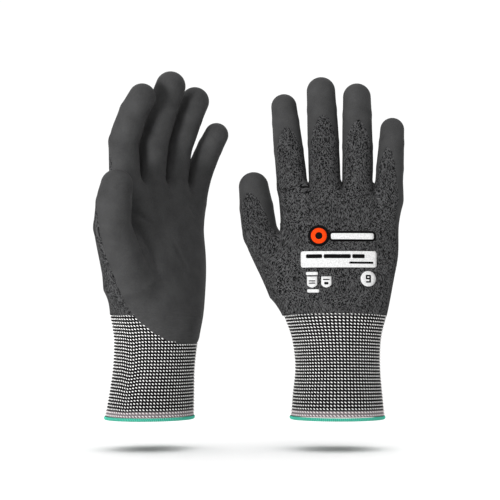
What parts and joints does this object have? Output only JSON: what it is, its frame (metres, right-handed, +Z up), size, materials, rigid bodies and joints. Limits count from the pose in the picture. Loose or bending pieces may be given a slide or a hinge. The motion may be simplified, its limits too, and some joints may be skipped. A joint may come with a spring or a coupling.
{
  "type": "cut resistant glove",
  "caption": "Knitted cut resistant work gloves as a pair, coated on palm and fingertips, with a ribbed cuff and bound hem.",
  "frame": {"origin": "centre of the right glove's wrist opening, at the bottom of its hem", "axes": "+Z up from the cuff to the fingertips, +X towards the right glove's little finger, +Y out of the right glove's palm"},
  "size_m": [0.2245, 0.1135, 0.2532],
  "materials": {
    "liner_knit": "knitted, grey flecked",
    "palm_coat": "matte, fine foam",
    "cuff_rib": "knitted, white dashes on black",
    "hem_thread": "overlocked thread",
    "print_white": "matte transfer print",
    "print_accent": "matte transfer print"
  },
  "bodies": {
    "right_cuff": {"right_ribbed_cuff": "cuff_rib", "right_overlock_hem": "hem_thread"},
    "right_hand": {"right_hand_liner": "liner_knit", "right_palm_coating": "palm_coat", "right_badge_roundel": "print_accent", "right_name_strip": "print_white", "right_label_panel": "print_white", "right_shield_mark_a": "print_white", "right_shield_mark_b": "print_white", "right_size_roundel": "print_white"},
    "right_index_base": {"right_index_base_stall": "liner_knit"},
    "right_index_middle": {"right_index_middle_stall": "liner_knit"},
    "right_index_tip": {"right_index_tip_stall": "liner_knit", "right_index_tip_coating": "palm_coat"},
    "right_middle_base": {"right_middle_base_stall": "liner_knit"},
    "right_middle_middle": {"right_middle_middle_stall": "liner_knit"},
    "right_middle_tip": {"right_middle_tip_stall": "liner_knit", "right_middle_tip_coating": "palm_coat"},
    "right_ring_base": {"right_ring_base_stall": "liner_knit"},
    "right_ring_middle": {"right_ring_middle_stall": "liner_knit"},
    "right_ring_tip": {"right_ring_tip_stall": "liner_knit", "right_ring_tip_coating": "palm_coat"},
    "right_little_base": {"right_little_base_stall": "liner_knit"},
    "right_little_middle": {"right_little_middle_stall": "liner_knit"},
    "right_little_tip": {"right_little_tip_stall": "liner_knit", "right_little_tip_coating": "palm_coat"},
    "right_thumb_base": {"right_thumb_base_stall": "liner_knit"},
    "right_thumb_tip": {"right_thumb_tip_stall": "liner_knit", "right_thumb_tip_coating": "palm_coat"},
    "left_cuff": {"left_ribbed_cuff": "cuff_rib", "left_overlock_hem": "hem_thread"},
    "left_hand": {"left_hand_liner": "liner_knit", "left_palm_coating": "palm_coat", "left_badge_roundel": "print_accent", "left_name_strip": "print_white", "left_label_panel": "print_white", "left_shield_mark_a": "print_white", "left_shield_mark_b": "print_white", "left_size_roundel": "print_white"},
    "left_index_base": {"left_index_base_stall": "liner_knit"},
    "left_index_middle": {"left_index_middle_stall": "liner_knit"},
    "left_index_tip": {"left_index_tip_stall": "liner_knit", "left_index_tip_coating": "palm_coat"},
    "left_middle_base": {"left_middle_base_stall": "liner_knit"},
    "left_middle_middle": {"left_middle_middle_stall": "liner_knit"},
    "left_middle_tip": {"left_middle_tip_stall": "liner_knit", "left_middle_tip_coating": "palm_coat"},
    "left_ring_base": {"left_ring_base_stall": "liner_knit"},
    "left_ring_middle": {"left_ring_middle_stall": "liner_knit"},
    "left_ring_tip": {"left_ring_tip_stall": "liner_knit", "left_ring_tip_coating": "palm_coat"},
    "left_little_base": {"left_little_base_stall": "liner_knit"},
    "left_little_middle": {"left_little_middle_stall": "liner_knit"},
    "left_little_tip": {"left_little_tip_stall": "liner_knit", "left_little_tip_coating": "palm_coat"},
    "left_thumb_base": {"left_thumb_base_stall": "liner_knit"},
    "left_thumb_tip": {"left_thumb_tip_stall": "liner_knit", "left_thumb_tip_coating": "palm_coat"}
  },
  "joints": [
    {"name": "right_wrist", "type": "hinge", "parent": "right_cuff", "child": "right_hand", "pos_m": [0, 0.008, 0.075], "axis": [-1, 0, 0], "range_deg": [-20, 25], "stiffness_Nm_per_rad": 0.3},
    {"name": "right_index_knuckle", "type": "hinge", "parent": "right_hand", "child": "right_index_base", "pos_m": [-0.0323, 0.0065, 0.171], "axis": [-0.9949, 0, -0.1011], "range_deg": [-15, 67], "stiffness_Nm_per_rad": 0.02},
    {"name": "right_index_middle_joint", "type": "hinge", "parent": "right_index_base", "child": "right_index_middle", "pos_m": [-0.03488, 0.00784, 0.19644], "axis": [-0.9949, 0, -0.1011], "range_deg": [-5, 75], "stiffness_Nm_per_rad": 0.02},
    {"name": "right_index_tip_joint", "type": "hinge", "parent": "right_index_middle", "child": "right_index_tip", "pos_m": [-0.0371, 0.01092, 0.21825], "axis": [-0.9949, 0, -0.1011], "range_deg": [-14, 53], "stiffness_Nm_per_rad": 0.02},
    {"name": "right_middle_knuckle", "type": "hinge", "parent": "right_hand", "child": "right_middle_base", "pos_m": [-0.0082, 0.0065, 0.173], "axis": [-0.9995, 0, -0.0332], "range_deg": [-15, 67], "stiffness_Nm_per_rad": 0.02},
    {"name": "right_middle_middle_joint", "type": "hinge", "parent": "right_middle_base", "child": "right_middle_middle", "pos_m": [-0.00918, 0.00805, 0.20254], "axis": [-0.9995, 0, -0.0332], "range_deg": [-5, 75], "stiffness_Nm_per_rad": 0.02},
    {"name": "right_middle_tip_joint", "type": "hinge", "parent": "right_middle_middle", "child": "right_middle_tip", "pos_m": [-0.01002, 0.01161, 0.22788], "axis": [-0.9995, 0, -0.0332], "range_deg": [-14, 53], "stiffness_Nm_per_rad": 0.02},
    {"name": "right_ring_knuckle", "type": "hinge", "parent": "right_hand", "child": "right_ring_base", "pos_m": [0.0159, 0.0065, 0.1715], "axis": [-1, 0, 0.0035], "range_deg": [-15, 67], "stiffness_Nm_per_rad": 0.02},
    {"name": "right_ring_middle_joint", "type": "hinge", "parent": "right_ring_base", "child": "right_ring_middle", "pos_m": [0.016, 0.00799, 0.19984], "axis": [-1, 0, 0.0035], "range_deg": [-5, 75], "stiffness_Nm_per_rad": 0.02},
    {"name": "right_ring_tip_joint", "type": "hinge", "parent": "right_ring_middle", "child": "right_ring_tip", "pos_m": [0.01608, 0.0114, 0.22415], "axis": [-1, 0, 0.0035], "range_deg": [-14, 53], "stiffness_Nm_per_rad": 0.02},
    {"name": "right_little_knuckle", "type": "hinge", "parent": "right_hand", "child": "right_little_base", "pos_m": [0.0382, 0.0056, 0.161], "axis": [-0.9971, 0, 0.0767], "range_deg": [-15, 67], "stiffness_Nm_per_rad": 0.02},
    {"name": "right_little_middle_joint", "type": "hinge", "parent": "right_little_base", "child": "right_little_middle", "pos_m": [0.03993, 0.00678, 0.18344], "axis": [-0.9971, 0, 0.0767], "range_deg": [-5, 75], "stiffness_Nm_per_rad": 0.02},
    {"name": "right_little_tip_joint", "type": "hinge", "parent": "right_little_middle", "child": "right_little_tip", "pos_m": [0.04141, 0.00949, 0.20268], "axis": [-0.9971, 0, 0.0767], "range_deg": [-14, 53], "stiffness_Nm_per_rad": 0.02},
    {"name": "right_thumb_base", "type": "hinge", "parent": "right_hand", "child": "right_thumb_base", "pos_m": [-0.056, 0.0185, 0.136], "axis": [-0.9786, 0.1225, -0.1652], "range_deg": [-12, 25], "stiffness_Nm_per_rad": 0.02},
    {"name": "right_thumb_joint", "type": "hinge", "parent": "right_thumb_base", "child": "right_thumb_tip", "pos_m": [-0.0588, 0.0225, 0.15556], "axis": [-0.9786, 0.1225, -0.1652], "range_deg": [-6, 44], "stiffness_Nm_per_rad": 0.02},
    {"name": "left_wrist", "type": "hinge", "parent": "left_cuff", "child": "left_hand", "pos_m": [-0.13056, -0.00525, 0.075], "axis": [0.6561, 0.7547, 0], "range_deg": [-20, 25], "stiffness_Nm_per_rad": 0.3},
    {"name": "left_index_knuckle", "type": "hinge", "parent": "left_hand", "child": "left_index_base", "pos_m": [-0.15288, -0.02864, 0.171], "axis": [0.6527, 0.7508, 0.1011], "range_deg": [-14, 68], "stiffness_Nm_per_rad": 0.02},
    {"name": "left_index_middle_joint", "type": "hinge", "parent": "left_index_base", "child": "left_index_middle", "pos_m": [-0.15397, -0.03134, 0.19811], "axis": [0.6527, 0.7508, 0.1011], "range_deg": [-30, 50], "stiffness_Nm_per_rad": 0.02},
    {"name": "left_index_tip_joint", "type": "hinge", "parent": "left_index_middle", "child": "left_index_tip", "pos_m": [-0.14587, -0.04107, 0.21801], "axis": [0.6527, 0.7508, 0.1011], "range_deg": [-23, 44], "stiffness_Nm_per_rad": 0.02},
    {"name": "left_middle_knuckle", "type": "hinge", "parent": "left_hand", "child": "left_middle_base", "pos_m": [-0.13707, -0.01045, 0.173], "axis": [0.6557, 0.7543, 0.0332], "range_deg": [-22, 60], "stiffness_Nm_per_rad": 0.02},
    {"name": "left_middle_middle_joint", "type": "hinge", "parent": "left_middle_base", "child": "left_middle_middle", "pos_m": [-0.13378, -0.01462, 0.20257], "axis": [0.6557, 0.7543, 0.0332], "range_deg": [-16, 64], "stiffness_Nm_per_rad": 0.02},
    {"name": "left_middle_tip_joint", "type": "hinge", "parent": "left_middle_middle", "child": "left_middle_tip", "pos_m": [-0.12569, -0.02267, 0.22591], "axis": [0.6557, 0.7543, 0.0332], "range_deg": [-14, 53], "stiffness_Nm_per_rad": 0.02},
    {"name": "left_ring_knuckle", "type": "hinge", "parent": "left_hand", "child": "left_ring_base", "pos_m": [-0.12126, 0.00773, 0.1715], "axis": [0.6561, 0.7547, -0.0035], "range_deg": [-21.5, 60.5], "stiffness_Nm_per_rad": 0.02},
    {"name": "left_ring_middle_joint", "type": "hinge", "parent": "left_ring_base", "child": "left_ring_middle", "pos_m": [-0.11775, 0.00481, 0.19879], "axis": [0.6561, 0.7547, -0.0035], "range_deg": [-18, 62], "stiffness_Nm_per_rad": 0.02},
    {"name": "left_ring_tip_joint", "type": "hinge", "parent": "left_ring_middle", "child": "left_ring_tip", "pos_m": [-0.10937, -0.00238, 0.22002], "axis": [0.6561, 0.7547, -0.0035], "range_deg": [-15, 52], "stiffness_Nm_per_rad": 0.02},
    {"name": "left_little_knuckle", "type": "hinge", "parent": "left_hand", "child": "left_little_base", "pos_m": [-0.10731, 0.02516, 0.161], "axis": [0.6541, 0.7525, -0.0767], "range_deg": [-27.5, 54.5], "stiffness_Nm_per_rad": 0.02},
    {"name": "left_little_middle_joint", "type": "hinge", "parent": "left_little_base", "child": "left_little_middle", "pos_m": [-0.10156, 0.02241, 0.18308], "axis": [0.6541, 0.7525, -0.0767], "range_deg": [-13, 67], "stiffness_Nm_per_rad": 0.02},
    {"name": "left_little_tip_joint", "type": "hinge", "parent": "left_little_middle", "child": "left_little_tip", "pos_m": [-0.09352, 0.0172, 0.2005], "axis": [0.6541, 0.7525, -0.0767], "range_deg": [-15, 52], "stiffness_Nm_per_rad": 0.02},
    {"name": "left_thumb_base", "type": "hinge", "parent": "left_hand", "child": "left_thumb_base", "pos_m": [-0.15938, -0.0544, 0.136], "axis": [0.5496, 0.819, 0.1652], "range_deg": [-14, 23], "stiffness_Nm_per_rad": 0.02},
    {"name": "left_thumb_joint", "type": "hinge", "parent": "left_thumb_base", "child": "left_thumb_tip", "pos_m": [-0.15789, -0.05869, 0.15232], "axis": [0.5496, 0.819, 0.1652], "range_deg": [-8, 42], "stiffness_Nm_per_rad": 0.02},
    {"name": "gloves_apart", "type": "slide", "parent": "right_cuff", "child": "left_cuff", "axis": [-1, 0, 0], "range_m": [0, 0.1]}
  ],
  "couplings": [
    {"joint": "right_index_tip_joint", "follows": "right_index_middle_joint", "ratio": 0.65},
    {"joint": "right_middle_tip_joint", "follows": "right_middle_middle_joint", "ratio": 0.65},
    {"joint": "right_ring_tip_joint", "follows": "right_ring_middle_joint", "ratio": 0.65},
    {"joint": "right_little_tip_joint", "follows": "right_little_middle_joint", "ratio": 0.65},
    {"joint": "left_index_tip_joint", "follows": "left_index_middle_joint", "ratio": 0.65},
    {"joint": "left_middle_tip_joint", "follows": "left_middle_middle_joint", "ratio": 0.65},
    {"joint": "left_ring_tip_joint", "follows": "left_ring_middle_joint", "ratio": 0.65},
    {"joint": "left_little_tip_joint", "follows": "left_little_middle_joint", "ratio": 0.65}
  ]
}
